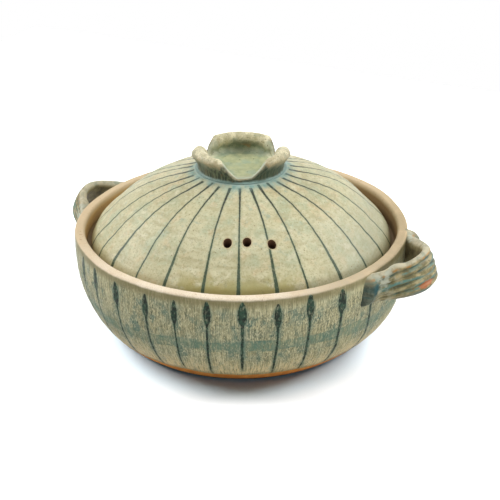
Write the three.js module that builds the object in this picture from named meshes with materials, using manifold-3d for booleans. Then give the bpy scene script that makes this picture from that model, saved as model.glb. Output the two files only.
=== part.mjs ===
// A lidded clay casserole: a thrown bowl with a gallery for its lid, two ribbed strap handles,
// a conical lid with steam holes, and a knob of petals cut from a small thrown cup.
// Millimetres, +Z up. The origin is the centre of the foot on the table, and the handles lie along X.
import * as THREE from "three";
import { mergeVertices } from "three/addons/utils/BufferGeometryUtils.js";
import Module from "manifold-3d";

// Bowl
const RIM_RADIUS = 135; // outside of the lip
const RIM_HEIGHT = 89; // top of the lip above the table
const LIP_THICKNESS = 8;
const LIP_ROUND = 2; // radius along both edges of the lip
const BOWL_WALL = 8;
const BELLY_FULLNESS = 3; // how far the wall's guide point stands outside the lip
const BELLY_HEIGHT = 26; // height of that guide point
const FOOT_RADIUS = 103; // outer edge of the foot
const FOOT_BEVEL = 1.5;
const FOOT_RING_WIDTH = 14; // flat ring that stands on the table
const FOOT_RECESS = 4; // hollow turned into the underside inside the ring
const FLOOR_THICKNESS = 9;
const FLOOR_ROUND = 14; // reach of the round between the floor and the wall
const FLOOR_ROUND_RISE = 3.5; // how far that round climbs the wall

// Gallery inside the lip, which carries the lid
const GALLERY_DEPTH = 16; // lip top down to the ledge
const GALLERY_DRAFT = 1; // how far the gallery wall leans in on the way down
const LEDGE_WIDTH = 9;
const LEDGE_THICKNESS = 7;

// Lid
const LID_CLEARANCE = 4; // between the lid's edge and the gallery wall
const LID_SEAT_GAP = 0.3; // between the lid's underside and the ledge
const LID_RISE = 62.5; // underside of the edge up to the flat crown
const LID_WALL = 7;
const LID_EDGE_HEIGHT = 5; // upright edge below the shoulder
const LID_EDGE_BEVEL = 1.2;
const LID_LAND = 6.5; // width of the flat underside of the edge
const LID_SHOULDER_INSET = 16; // edge in to where the cone begins
const LID_SHOULDER_HEIGHT = 26;
const LID_SHOULDER_ROUND = 12; // reach of the shoulder's guide point past the cone
const LID_BULGE = 2.2; // how far the cone swells from a straight line
const LID_TURN = 25; // degrees that the lid is turned on the bowl
const STEAM_HOLE_DIAMETER = 6.5;
const STEAM_HOLE_DISTANCE = 84; // lid axis to the row of holes
const STEAM_HOLE_OFFSETS = [-9.5, 5, 23.5]; // places along the row, punched by hand

// Knob
const KNOB_FOOT_RADIUS = 34.5;
const KNOB_FOOT_BEVEL = 1.2;
const KNOB_HEIGHT = 15.5; // rim of the petals at the sides
const KNOB_BACK_RISE = 2.5; // how much higher the back petal's rim is
const KNOB_RIM_RADIUS = 39.5;
const KNOB_BACK_LEAN = 4; // how far it stands in from the others
const KNOB_FRONT_RISE = 3; // how far the other two climb from the sides towards the front cut
const KNOB_CLIMB = [-0.2, 0.5]; // where they climb: how far to the front, as shares of the radius
const KNOB_WALL = 5; // at the foot of the notches
const KNOB_BEAD = 11; // rolled rim of the petals
const BEAD_UNDERCUT = 35; // degrees that the roll turns back under itself inside
const CUP_FLOOR = 2; // thickness of the cup's floor
const CUP_FLOOR_RADIUS = 17;
const CROWN_MARGIN = 1.5; // flat of the lid that shows round the knob's foot
const NOTCH_HEIGHT = 3; // rim height in the notches between petals
const NOTCH_FLAT = 0.2; // share of a notch, from its middle, that stays that low
// Cuts between the petals: where each lies, and the degrees from there to the full height of a petal.
const NOTCHES = [
  { at: 27, spread: 22 },
  { at: 151, spread: 22 },
  { at: 275, spread: 37 },
];

// Handles
const HANDLE_REACH = 30; // bowl wall to the outside of the strap, half way up it
const HANDLE_HALF_SPAN = 38.5; // middle of the loop to where the strap comes down on the wall, along the wall
const HANDLE_FOOT_LENGTH = 10; // length pressed on to the wall beyond that
const HANDLE_FOOT_RISE = 3; // middle of the strap above the wall along its feet
const HANDLE_LIFT = 8; // how far the loop climbs from its feet
const HANDLE_TILT = 21; // degrees that the loop's upper edge leans towards the bowl
const LOOP_POWER = 1.25; // 1 brings the loop down on the wall in a corner, 2 in a long curve
// The two were cut and stuck on by eye: degrees round the bowl, from the rim down to the middle of the feet,
// and the strap's width at the loop's outermost point.
const HANDLES = {
  handle_right: { turn: -2, drop: 14, width: 28 },
  handle_left: { turn: 173.5, drop: 23, width: 23.5 },
};
const STRAP_FOOT_SHARE = 0.8; // width of the feet against the loop's
const STRAP_THICKNESS = 8;
const STRAP_RIDGES = 5;
const RIDGE_DEPTH = 1.5;

// Joints and mesh fineness
const SLIP_SEAM = 0.3; // slip between pieces that are stuck together
const SEGMENTS = 60; // facets round the bowl and the lid
const KNOB_SEGMENTS = 72;
const WALL_STEPS = 10;
const CURVE_STEPS = 6;
const ROUND_STEPS = 3;
const STRAP_STEPS = 26;
const MERGE_DISTANCE = 1e-4;
const CUT_MARGIN = 10; // how far cutting tools run past what they cut

// Sizes that follow
const LEDGE_HEIGHT = RIM_HEIGHT - GALLERY_DEPTH;
const GALLERY_RADIUS = RIM_RADIUS - LIP_THICKNESS - GALLERY_DRAFT;
const LID_RADIUS = GALLERY_RADIUS - LID_CLEARANCE;
const FLOOR_HEIGHT = FOOT_RECESS + FLOOR_THICKNESS;

const wasm = await Module();
wasm.setup();

const radians = THREE.MathUtils.degToRad;
const point = (r, z) => new THREE.Vector2(r, z);

// A closed geometry as a solid that can be cut.
function toSolid(geometry) {
  const bare = geometry.clone();
  bare.deleteAttribute("normal");
  bare.deleteAttribute("uv");
  const merged = mergeVertices(bare, MERGE_DISTANCE);
  const mesh = { numProp: 3, vertProperties: merged.attributes.position.array, triVerts: merged.index.array };
  return new wasm.Manifold(new wasm.Mesh(mesh));
}

function toGeometry(solid) {
  const { vertProperties, triVerts } = solid.getMesh();
  const geometry = new THREE.BufferGeometry();
  geometry.setAttribute("position", new THREE.BufferAttribute(vertProperties, 3));
  geometry.setIndex(new THREE.BufferAttribute(triVerts, 1));
  geometry.computeVertexNormals();
  return geometry;
}

// Revolves a profile of (radius, height) points about Z.
function revolve(profile) {
  return new THREE.LatheGeometry(profile, SEGMENTS).rotateX(Math.PI / 2);
}

// A closed skin through rings of points that turn anticlockwise when seen from ahead. Every ring has as many
// points as the next, and each end is closed by a fan to its ring's middle.
function loft(rings) {
  const size = rings[0].length;
  const position = rings.flat().flatMap((p) => p.toArray());
  const index = [];
  for (let ring = 0; ring + 1 < rings.length; ring++) {
    for (let side = 0; side < size; side++) {
      const a = ring * size + side;
      const b = ring * size + ((side + 1) % size);
      index.push(a, b, b + size, a, b + size, a + size);
    }
  }
  for (const [ring, turned] of [[0, true], [rings.length - 1, false]]) {
    const middle = new THREE.Vector3();
    rings[ring].forEach((p) => middle.addScaledVector(p, 1 / size));
    const centre = position.push(...middle.toArray()) / 3 - 1;
    for (let side = 0; side < size; side++) {
      const a = ring * size + side;
      const b = ring * size + ((side + 1) % size);
      index.push(centre, ...(turned ? [b, a] : [a, b]));
    }
  }
  const geometry = new THREE.BufferGeometry();
  geometry.setAttribute("position", new THREE.Float32BufferAttribute(position, 3));
  geometry.setIndex(index);
  return geometry;
}

// Points along an elliptical arc between two angles in degrees.
function arcPoints(centre, across, up, from, to, steps = ROUND_STEPS) {
  return Array.from({ length: steps + 1 }, (_, i) => {
    const angle = radians(THREE.MathUtils.lerp(from, to, i / steps));
    return point(centre.x + across * Math.cos(angle), centre.y + up * Math.sin(angle));
  });
}

// Points of a curve moved sideways by a distance, to the left of the way it runs.
function offsetPoints(curve, distance, steps, from = 0, to = 1) {
  return Array.from({ length: steps + 1 }, (_, i) => {
    const t = THREE.MathUtils.lerp(from, to, i / steps);
    const tangent = curve.getTangent(t);
    return curve.getPoint(t).add(point(-tangent.y, tangent.x).multiplyScalar(distance));
  });
}

// Where a rising curve, moved sideways by a distance, reaches a height.
function whereAtHeight(curve, distance, height) {
  let low = 0;
  let high = 1;
  for (let i = 0; i < 40; i++) {
    const middle = (low + high) / 2;
    if (offsetPoints(curve, distance, 1, middle, middle)[0].y < height) low = middle;
    else high = middle;
  }
  return low;
}

// The bowl's outside, from the foot up to the lip.
function bowlWall() {
  return new THREE.QuadraticBezierCurve(
    point(FOOT_RADIUS, FOOT_BEVEL),
    point(RIM_RADIUS + BELLY_FULLNESS, BELLY_HEIGHT),
    point(RIM_RADIUS, RIM_HEIGHT - LIP_ROUND),
  );
}

function bowlRadiusAt(height) {
  const wall = bowlWall();
  return wall.getPoint(whereAtHeight(wall, 0, height)).x;
}

function bowlGeometry() {
  const wall = bowlWall();
  const ring = FOOT_RADIUS - FOOT_BEVEL - FOOT_RING_WIDTH;
  const lipHeight = RIM_HEIGHT - LIP_ROUND;
  const lipOuter = point(RIM_RADIUS - LIP_ROUND, lipHeight);
  const lipInner = point(RIM_RADIUS - LIP_THICKNESS + LIP_ROUND, lipHeight);
  const nose = GALLERY_RADIUS - LEDGE_WIDTH;
  const underLedge = LEDGE_HEIGHT - LEDGE_THICKNESS;
  // The inside of the wall meets the ledge's sloping underside above and the floor's round below.
  const top = whereAtHeight(wall, BOWL_WALL, underLedge - LEDGE_WIDTH);
  const bottom = whereAtHeight(wall, BOWL_WALL, FLOOR_HEIGHT + FLOOR_ROUND_RISE);
  const inside = offsetPoints(wall, BOWL_WALL, CURVE_STEPS, top, bottom);
  const heel = inside[inside.length - 1];
  const floorRound = new THREE.QuadraticBezierCurve(
    heel,
    point(heel.x - FLOOR_ROUND / 2, FLOOR_HEIGHT),
    point(heel.x - FLOOR_ROUND, FLOOR_HEIGHT),
  );
  return revolve([
    point(0, FOOT_RECESS),
    point(ring - FOOT_RECESS, FOOT_RECESS),
    point(ring, 0),
    point(FOOT_RADIUS - FOOT_BEVEL, 0),
    ...wall.getPoints(WALL_STEPS),
    ...arcPoints(lipOuter, LIP_ROUND, LIP_ROUND, 0, 90).slice(1),
    ...arcPoints(lipInner, LIP_ROUND, LIP_ROUND, 90, 180),
    point(GALLERY_RADIUS, LEDGE_HEIGHT),
    point(nose, LEDGE_HEIGHT),
    point(nose, underLedge),
    ...inside,
    ...floorRound.getPoints(ROUND_STEPS).slice(1),
    point(0, FLOOR_HEIGHT),
  ]);
}

// Everything inside the bowl's outer face, grown by the slip seam, for seating the handles.
function bowlSeat(margin) {
  const skin = offsetPoints(bowlWall(), -SLIP_SEAM, WALL_STEPS);
  const top = RIM_HEIGHT + margin;
  const bottom = -margin;
  const last = skin[skin.length - 1];
  const profile = [point(0, bottom), point(skin[0].x, bottom), ...skin, point(last.x, top), point(0, top)];
  return toSolid(revolve(profile));
}

// The strap's cross-section at a width: x outwards, y up. Ridges run along its outer face.
function strapSection(width) {
  const steps = STRAP_RIDGES * 4;
  const edge = (v) => Math.sqrt(1 - Math.abs(2 * v - 1) ** 4);
  const ridge = (v) => RIDGE_DEPTH * (Math.abs(Math.sin(Math.PI * STRAP_RIDGES * v)) - 1);
  const outer = [];
  const inner = [];
  for (let i = 0; i <= steps; i++) {
    const v = i / steps;
    const height = (v - 0.5) * width;
    outer.push(point(edge(v) * (STRAP_THICKNESS / 2 + ridge(v)), height));
    if (i % 2 === 0 && i > 0 && i < steps) inner.unshift(point((-edge(v) * STRAP_THICKNESS) / 2, height));
  }
  return [...outer, ...inner];
}

// The middle line of a strap seen from above: along the bowl's wall, out round the loop and back to the wall.
class StrapLine extends THREE.Curve {
  constructor(wallRadius) {
    super();
    this.wallRadius = wallRadius;
  }

  getPoint(t, target = new THREE.Vector3()) {
    const along = (1 - 2 * t) * (HANDLE_HALF_SPAN + HANDLE_FOOT_LENGTH);
    const share = Math.min(1, Math.abs(along) / HANDLE_HALF_SPAN);
    const loop = Math.cos((share * Math.PI) / 2) ** LOOP_POWER;
    const out = THREE.MathUtils.lerp(HANDLE_FOOT_RISE, HANDLE_REACH - STRAP_THICKNESS / 2, loop);
    const radius = this.wallRadius + out;
    const angle = along / this.wallRadius;
    return target.set(radius * Math.cos(angle), radius * Math.sin(angle), 0);
  }
}

// One handle: a ribbed strap bent to a loop, with its two ends pressed flat along the bowl's wall.
function handleGeometry(height, loopWidth) {
  const path = new StrapLine(bowlRadiusAt(height));
  const rings = Array.from({ length: STRAP_STEPS + 1 }, (_, i) => {
    const t = i / STRAP_STEPS;
    const towardsFoot = THREE.MathUtils.smoothstep(Math.abs(2 * t - 1), 0, 1);
    const middle = path.getPointAt(t);
    middle.z = height + HANDLE_LIFT * (1 - towardsFoot);
    const tangent = path.getTangentAt(t);
    const outwards = new THREE.Vector3(-tangent.y, tangent.x, 0);
    const width = loopWidth * THREE.MathUtils.lerp(1, STRAP_FOOT_SHARE, towardsFoot);
    const tilt = radians(HANDLE_TILT) * (1 - towardsFoot);
    return strapSection(width).map((flat) => {
      const p = flat.rotateAround(point(0, 0), tilt);
      const spot = middle.clone().addScaledVector(outwards, p.x);
      spot.z += p.y;
      return spot;
    });
  });
  return toGeometry(toSolid(loft(rings)).subtract(bowlSeat(loopWidth + CUT_MARGIN)));
}

// The lid's outside, from the top of its upright edge over the shoulder and up the cone to the crown.
function lidOutside() {
  const edge = point(LID_RADIUS, LID_EDGE_HEIGHT);
  const shoulder = point(LID_RADIUS - LID_SHOULDER_INSET, LID_SHOULDER_HEIGHT);
  const crown = point(KNOB_FOOT_RADIUS + CROWN_MARGIN, LID_RISE);
  const downCone = shoulder.clone().sub(crown).normalize();
  const guide = shoulder.clone().addScaledVector(downCone, LID_SHOULDER_ROUND);
  const swell = point(-downCone.y, downCone.x).multiplyScalar(2 * LID_BULGE);
  const coneGuide = shoulder.clone().lerp(crown, 0.5).add(swell);
  return [
    new THREE.QuadraticBezierCurve(edge, guide, shoulder),
    new THREE.QuadraticBezierCurve(shoulder, coneGuide, crown),
  ];
}

function steamHole(offset) {
  const radius = STEAM_HOLE_DIAMETER / 2;
  const length = LID_RISE + 2 * CUT_MARGIN;
  const hole = new THREE.CylinderGeometry(radius, radius, length, 20).rotateX(Math.PI / 2);
  return toSolid(hole.translate(offset, -STEAM_HOLE_DISTANCE, LID_RISE / 2));
}

function lidGeometry() {
  const outside = lidOutside();
  const inside = outside.flatMap((curve) => offsetPoints(curve, LID_WALL, CURVE_STEPS)).reverse();
  const profile = [
    point(0, LID_RISE - LID_WALL),
    ...inside.filter((p) => p.y < LID_RISE - LID_WALL),
    point(LID_RADIUS - LID_LAND, 0),
    point(LID_RADIUS - LID_EDGE_BEVEL, 0),
    point(LID_RADIUS, LID_EDGE_BEVEL),
    ...outside[0].getPoints(CURVE_STEPS),
    ...outside[1].getPoints(CURVE_STEPS).slice(1),
    point(0, LID_RISE),
  ];
  const shell = toSolid(revolve(profile));
  return toGeometry(STEAM_HOLE_OFFSETS.reduce((lid, offset) => lid.subtract(steamHole(offset)), shell));
}

// How far the knob's rim has risen at an angle in degrees: 0 in a notch, 1 along a petal.
function petalRise(angle) {
  const rises = NOTCHES.map(({ at, spread }) => {
    const away = Math.abs(THREE.MathUtils.euclideanModulo(angle - at + 180, 360) - 180);
    return THREE.MathUtils.smoothstep(away, NOTCH_FLAT * spread, spread);
  });
  return Math.min(...rises);
}

// Half of the knob cut through its axis at an angle: foot, outer wall, rolled rim, inner wall and cup floor.
function knobSection(angle) {
  const rise = petalRise(angle);
  const back = Math.max(0, Math.sin(radians(angle)));
  const front = THREE.MathUtils.smoothstep(-Math.sin(radians(angle)), ...KNOB_CLIMB);
  const petal = KNOB_HEIGHT + KNOB_BACK_RISE * back + KNOB_FRONT_RISE * front;
  const height = THREE.MathUtils.lerp(NOTCH_HEIGHT, petal, rise);
  const radius = THREE.MathUtils.lerp(KNOB_FOOT_RADIUS, KNOB_RIM_RADIUS - KNOB_BACK_LEAN * back, rise);
  const across = THREE.MathUtils.lerp(KNOB_WALL, KNOB_BEAD, rise) / 2;
  const up = Math.min(across, height - CUP_FLOOR);
  const middle = point(radius - across, height - up);
  const roll = arcPoints(middle, across, up, 0, 180 + BEAD_UNDERCUT * rise, CURVE_STEPS);
  const foot = point(KNOB_FOOT_RADIUS, KNOB_FOOT_BEVEL);
  const outside = new THREE.QuadraticBezierCurve(foot, point(KNOB_FOOT_RADIUS, middle.y / 2), roll[0]);
  const inside = new THREE.QuadraticBezierCurve(
    roll[roll.length - 1],
    point(KNOB_FOOT_RADIUS - KNOB_WALL, CUP_FLOOR),
    point(CUP_FLOOR_RADIUS, CUP_FLOOR),
  );
  return [
    point(KNOB_FOOT_RADIUS - KNOB_FOOT_BEVEL, 0),
    ...outside.getPoints(ROUND_STEPS),
    ...roll.slice(1),
    ...inside.getPoints(CURVE_STEPS).slice(1),
  ];
}

// The sections all round the axis, joined as rings from the foot's underside to the cup's floor.
function knobGeometry() {
  const sections = Array.from({ length: KNOB_SEGMENTS }, (_, i) => {
    const angle = (360 * i) / KNOB_SEGMENTS;
    const cos = Math.cos(radians(angle));
    const sin = Math.sin(radians(angle));
    return knobSection(angle).map((p) => new THREE.Vector3(p.x * cos, p.x * sin, p.y));
  });
  return loft(sections[0].map((_, ring) => sections.map((section) => section[ring])));
}

function clay(color, roughness) {
  return new THREE.MeshStandardMaterial({ color, roughness, metalness: 0 });
}

function piece(name, geometry, material) {
  const mesh = new THREE.Mesh(geometry, material);
  mesh.name = name;
  return mesh;
}

const pot = new THREE.Group();
pot.add(piece("bowl", bowlGeometry(), clay(0x98977a, 0.45)));
const handleClay = clay(0x84836a, 0.45);
for (const [name, { turn, drop, width }] of Object.entries(HANDLES)) {
  const handle = piece(name, handleGeometry(RIM_HEIGHT - drop, width), handleClay);
  handle.rotation.z = radians(turn);
  pot.add(handle);
}

const cover = new THREE.Group();
cover.position.z = LEDGE_HEIGHT + LID_SEAT_GAP;
cover.rotation.z = radians(LID_TURN);
cover.add(piece("lid", lidGeometry(), clay(0xbcb892, 0.4)));
const knob = piece("knob", knobGeometry(), clay(0xa8a785, 0.4));
knob.position.z = LID_RISE + SLIP_SEAM;
cover.add(knob);

const casserole = new THREE.Group();
casserole.add(pot, cover);

export default casserole;
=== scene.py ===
"""A lidded clay casserole in sage glaze with teal brush strokes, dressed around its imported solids.

Sizes are millimetres and turn into metres where a mesh, a lamp or the camera is made. Angles are degrees
about +Z, from +X.
"""
import math

import bpy
import numpy as np
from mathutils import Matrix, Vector, noise


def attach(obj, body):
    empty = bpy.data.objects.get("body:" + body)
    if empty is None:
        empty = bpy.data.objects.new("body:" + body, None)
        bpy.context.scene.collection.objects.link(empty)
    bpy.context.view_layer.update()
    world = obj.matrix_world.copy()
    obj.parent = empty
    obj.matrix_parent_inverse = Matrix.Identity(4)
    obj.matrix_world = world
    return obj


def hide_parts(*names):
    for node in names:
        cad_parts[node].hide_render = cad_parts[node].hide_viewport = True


MM = 0.001

# Bowl, as in the solids
RIM_RADIUS = 135
RIM_HEIGHT = 89
LIP_THICKNESS = 8
LIP_ROUND = 2
BOWL_WALL = 8
BELLY_FULLNESS = 3
BELLY_HEIGHT = 26
FOOT_RADIUS = 103
FOOT_BEVEL = 1.5
FOOT_RING_WIDTH = 14
FOOT_RECESS = 4
FLOOR_THICKNESS = 9
FLOOR_ROUND = 14
FLOOR_ROUND_RISE = 3.5
GALLERY_DEPTH = 16
GALLERY_DRAFT = 1
LEDGE_WIDTH = 9
LEDGE_THICKNESS = 7

# Lid and knob, as in the solids
LID_CLEARANCE = 4
LID_SEAT_GAP = 0.3
LID_RISE = 62.5
LID_WALL = 7
LID_EDGE_HEIGHT = 5
LID_LAND = 6.5
LID_SHOULDER_INSET = 16
LID_SHOULDER_HEIGHT = 26
LID_SHOULDER_ROUND = 12
LID_BULGE = 2.2
LID_TURN = 25
STEAM_HOLE_DIAMETER = 6.5
STEAM_HOLE_DISTANCE = 84
STEAM_HOLE_OFFSETS = [-9.5, 5, 23.5]
KNOB_FOOT_RADIUS = 34.5
KNOB_HEIGHT = 15.5
KNOB_BACK_RISE = 2.5
KNOB_RIM_RADIUS = 39.5
KNOB_BACK_LEAN = 4
KNOB_FRONT_RISE = 3
KNOB_CLIMB = (-0.2, 0.5)
KNOB_WALL = 5
KNOB_BEAD = 11
BEAD_UNDERCUT = 35
CUP_FLOOR = 2
CUP_FLOOR_RADIUS = 17
CROWN_MARGIN = 1.5
NOTCH_HEIGHT = 3
NOTCH_FLAT = 0.2
NOTCHES = [(27, 22), (151, 22), (275, 37)]  # angle, and degrees from there to a petal's full height
FRONT_NOTCH = 275

# Handles, as in the solids: angle, from the rim down to the middle of the feet, and width of the strap
HANDLES = {"handle_right": (-2, 14, 28), "handle_left": (173.5, 23, 23.5)}
HANDLE_REACH = 30
HANDLE_HALF_SPAN = 38.5
HANDLE_FOOT_LENGTH = 10
HANDLE_FOOT_RISE = 3
HANDLE_LIFT = 8
HANDLE_TILT = 21
LOOP_POWER = 1.25
STRAP_FOOT_SHARE = 0.8
STRAP_THICKNESS = 8
STRAP_RIDGES = 5
RIDGE_DEPTH = 1.5
SLIP_SEAM = 0.3

# Sizes that follow
LEDGE_HEIGHT = RIM_HEIGHT - GALLERY_DEPTH
GALLERY_RADIUS = RIM_RADIUS - LIP_THICKNESS - GALLERY_DRAFT
LID_RADIUS = GALLERY_RADIUS - LID_CLEARANCE
FLOOR_HEIGHT = FOOT_RECESS + FLOOR_THICKNESS
LID_HEIGHT = LEDGE_HEIGHT + LID_SEAT_GAP
KNOB_BASE = LID_HEIGHT + LID_RISE + SLIP_SEAM

# Hand work on top of the solids. A SPAN, or a TURN in degrees, is where a thing is most and how far it goes
# either way, and a FADE is where it starts and where it is full.
RIM_DIP = 3  # how far the rim dips above the left handle
RIM_DIP_TURN = (176, 62)
RIM_DIP_FADE = (22, 2)  # along the skin below the lip
RIM_DIP_INNER_FADE = (-30, -16)  # and on the inside
FULL_AMOUNT = 3  # how much fuller the wall is low on the right
FULL_SPAN = (28, 30)  # heights
FULL_TURN = (12, 70)
BOWL_RINGS = (7.5, 0.45, 0.12)  # throwing rings: pitch, and height inside and outside
RINGS_INSIDE = -45  # where the inside's start, along the skin from the lip
LIP_SMOOTH = 12  # and how far from the lip there are none
BOWL_HANDWORK = (0.9, 42, 3.1)  # unevenness: amount, size and seed
FOOT_FADE = (1, 8)  # heights
AXIS_CALM = 20  # radius inside which hand work fades
LID_SWELL = 1.9  # how much the cone stands up on the viewer's right
LID_SWELL_TURN = (45, 85)
LID_SWELL_LENGTH = 100
LID_DOME = 1.9  # how much rounder the cone is than the solids'
LID_DOME_SPAN = (80, 26)  # radii
LID_SLUMP = 3.3  # how much slacker the shoulder is
LID_SLUMP_SPAN = (112, 15)
LID_RINGS = (9, 0.12)
LID_RING_FADE = (8, 20)  # below the knob
LID_HANDWORK = (1.6, 34, 7.7)
CROWN_FADE = (2, 14)  # below the knob
LAND_FADE = (2, 10)  # heights
HOLE_SHIFT = 4.4  # how much further down the cone the steam holes are
KNOB_HANDWORK = (1.4, 15, 1.9)
KNOB_FOOT_FADE = (0.3, 0.8)  # along the knob's skin: 1 to 2 is the rolled rim, and 3 the cup's floor
CUP_FADE = (3, 2.4)
KNOB_FLARE = 2  # how far the slip spreads round the knob's foot
PETAL_SIDE = (0.08, 0.92)  # shares of a notch's slope between which its side is straight
PETAL_EASE = 0.35  # how much of an ease is in it
CUP_DISH = 0.4  # how much the cup's floor sinks towards its middle
CUP_DISH_RADIUS = 10
FOOT_SMEAR = 4  # how far the clay of a handle's feet is smeared along the wall past the strap's end
SKIRT_UP = 0.5  # how far it is smeared up the wall
SKIRT_DOWN = 1.5
FOOT_SINK = 1.2  # how deep the edges of a smear lie under the glaze of the wall
STRAP_THICKENING = 3.5  # how much thicker the strap is inside on its way to the feet
STRAP_THICKENING_FADE = (6, 28)  # along the wall from the strap's middle
PRESSED_FADE = (-6, 3)  # where the strap is pressed on, along the wall from the loop's end
RIDGE_WANDER = (30, 0.05)  # how slowly the ridges wander sideways, and by what share of the width
UNEVEN_LENGTH = 16  # how long uneven patches are along a strap
UNEVEN_ACROSS = 5  # and how many lie across it
RIDGE_UNEVEN = 1.1  # by what share they deepen the ridges
FACE_UNEVEN = 0.6  # how far they stand out on the strap
PAD_UNEVEN = 0.8  # and on its feet
PRESSED_FLAT = 0.8  # how much of the ridges is pressed away at the feet
PAD_FULLNESS = 0.7  # how square a foot's pad is across: 0 gives a slab, 1 a cushion
FOOT_SLANT = 5  # how much sooner a foot ends at its top than at its bottom
LUMP_OUT = 3.5  # clay left proud on the foot behind: outwards and up
LUMP_UP = 2.5
LUMP_SPAN = (45, 7)  # along the wall from the strap's middle
LUMP_FADE = (0.2, 0.7)  # up the strap, in shares of its width
BUMP_UP = 2.5  # clay squeezed up where the strap bends to the foot in front
BUMP_SPAN = (25, 7)
# How a strap differs from the solids': degrees that it leans more, how much further out and up its loop
# stands, and how much deeper it is inside
STANCES = {"handle_right": (0, 0, 0, 3), "handle_left": (9, 1.0, 1.2, 7)}
BEAD_TAPER = 0.3  # how much thinner the rolled rims are beside the front notch
BEAD_TAPER_FADE = (70, 35)  # degrees from the notch
BEAD_FADE = (0.35, 0.95)  # where a wall thickens to a rolled rim, in shares of a petal's rise
CUP_RING_PITCH = 5  # throwing rings in the knob's cup
CUP_RING_HEIGHT = 0.25
CUP_RING_FADE = (2.5, 2.9)  # along the knob's skin

# Mesh fineness
COLUMNS = 288
KNOB_COLUMNS = 240
STRAP_ROWS = 160
OUTER_POINTS = 61
INNER_POINTS = 25
BOWL_CAP = 8  # radii of the small faces that close the skins at the axis
LID_CAP = 6
KNOB_CAP = 3
HOLE_SIDES = 32
DRILL_MARGIN = 8  # how far the cutter of a steam hole stands out of the lid
BEND_EASE = 80  # fine steps over which a strap's bends are eased
SEAM_ANGLE = 90  # where the painted coordinates start, behind the pot
HOLE_MARK = -60  # painted coordinate of the steam holes' walls, which the glaze doesn't reach

# Brush strokes: those on the front lie where the painter put them, and the rest follow at an even pitch.
BOWL_STROKES = [-130.2, -120.4, -109, -96.3, -86, -75.3, -64.3, -53.2, -42.8, -31.3, -17.2]
BOWL_STROKE_TOPS = [3, 2.5, 3.3, 4, 3.3, 0.7, 0, 3, -1.3, 1.5, 3]  # below the lip
BOWL_STROKE_COUNT = 32
HANDLE_CLEAR = 13  # no stroke is painted this close to a handle's middle, in degrees
LID_STROKES = [
    -158, -143.4, -132, -120.5, -106.3, -93.7, -78.5, -65.7, -51.6, -40.1, -25.8, -11.5, 2.2, 15, 31,
]
LID_STROKE_COUNT = 28
FRONT = -65  # angle that faces the viewer
STROKE_SWAY = 0.18  # how uneven the even pitch is
STROKE_DRAW = 7.4  # how far the lid's stripes lean to the front where they reach the knob
STROKE_DRAW_FADE = (64, 36)  # radii
# Half width of a bowl stroke at distances below its top: a paddle-shaped head, then a thin tail.
BOWL_STROKE_SHAPE = [
    (0, 0.4), (2, 1.5), (6, 2.5), (11, 3.1), (15, 2.9), (18.5, 1.9),
    (21.5, 1.15), (30, 0.95), (45, 1.05), (62, 0.9), (86, 0.55),
]
# Half width of a lid stripe at distances below the knob.
LID_STROKE_SHAPE = [
    (0, 0.8), (4, 1.4), (12, 1.05), (30, 0.72), (60, 0.72), (85, 0.86), (104, 1.0), (112, 0.9),
]
GLAZE_END = 17  # bare clay above the foot's edge, along the wall
SOLE_RING_PITCH = 5  # rings of the turning tool under the foot
SHEEN = 0.3  # how strongly the satin glaze reflects

# Camera and light
CAMERA_AZIMUTH = 25
CAMERA_ELEVATION = 26.59
CAMERA_DISTANCE = 1000
CAMERA_AIM = (6.53, 3.04, 61.1)
CAMERA_LENS = 86.99
SENSOR = 36
WORLD_LIGHT = 0.06
FLOOR_SIDE = 650  # from the middle to an edge: no further than the lamps light it white
FLOOR_ROUGHNESS = 0.9
FLOOR_SHEEN = 0.1
FLOOR_SEEN = (0.86, 0.86, 0.87, 1)  # the floor's white for the camera
FLOOR_NEAR = (0.68, 0.83, 0.92, 1)  # beside the pot, where the light off the orange foot warms it
FLOOR_NEAR_FADE = (108, 138)  # from the middle, towards the floor's white
FLOOR_BOUNCE = (0.35, 0.35, 0.35, 1)  # the floor's grey for the light that it throws back at the pot
SKY_STRENGTH = 1.15
SKY_WIDTH = 50  # degrees across
# Lamps: azimuth and elevation, as the camera's, and power.
SIDE_LAMPS = [(-80, 38, 10.5), (130, 38, 10.5)]
FLOOR_LAMPS = [(-80, 38, 30), (130, 38, 30)]
SHADE_LAMPS = [(25, 20, 1.5), (205, 20, 1.5)]  # blue light for the shadow, against the foot's orange
SHADE_COLOR = (0, 0.6, 1)
FILLS = [(25, 9, 3.6), (-40, 10, 4), (85, 10, 8), (205, 15, 4)]
LAMP_DISTANCE = 1400
LAMP_SIZE = 900


def bezier(start, guide, end, steps):
    t = np.linspace(0, 1, steps + 1)[:, None]
    start, guide, end = (np.array(p, float) for p in (start, guide, end))
    return (1 - t) ** 2 * start + 2 * t * (1 - t) * guide + t * t * end


def line(start, end, steps):
    t = np.linspace(0, 1, steps + 1)[:, None]
    return np.array(start, float) * (1 - t) + np.array(end, float) * t


def arc(centre, across, up, start, end, steps):
    angles = np.radians(np.linspace(start, end, steps + 1))
    return np.stack([centre[0] + across * np.cos(angles), centre[1] + up * np.sin(angles)], axis=1)


def step_lengths(points):
    return np.linalg.norm(np.diff(points, axis=0), axis=1)


def chain(*parts):
    """Profile parts end to end, without the points that repeat."""
    points = np.vstack(parts)
    return points[np.concatenate([[True], step_lengths(points) > 1e-6])]


def eased(corners, reach, spacing):
    """A polyline with its corners rounded over a reach, and points about a spacing apart."""
    corners = [np.array(p, float) for p in corners]
    parts = []
    last = corners[0]
    for before, corner, after in zip(corners, corners[1:], corners[2:]):
        back = (before - corner) / np.linalg.norm(before - corner)
        ahead = (after - corner) / np.linalg.norm(after - corner)
        start = corner + back * reach
        parts.append(line(last, start, max(1, round(np.linalg.norm(start - last) / spacing))))
        last = corner + ahead * reach
        parts.append(bezier(start, corner, last, 5))
    parts.append(line(last, corners[-1], max(1, round(np.linalg.norm(corners[-1] - last) / spacing))))
    return chain(*parts)


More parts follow.
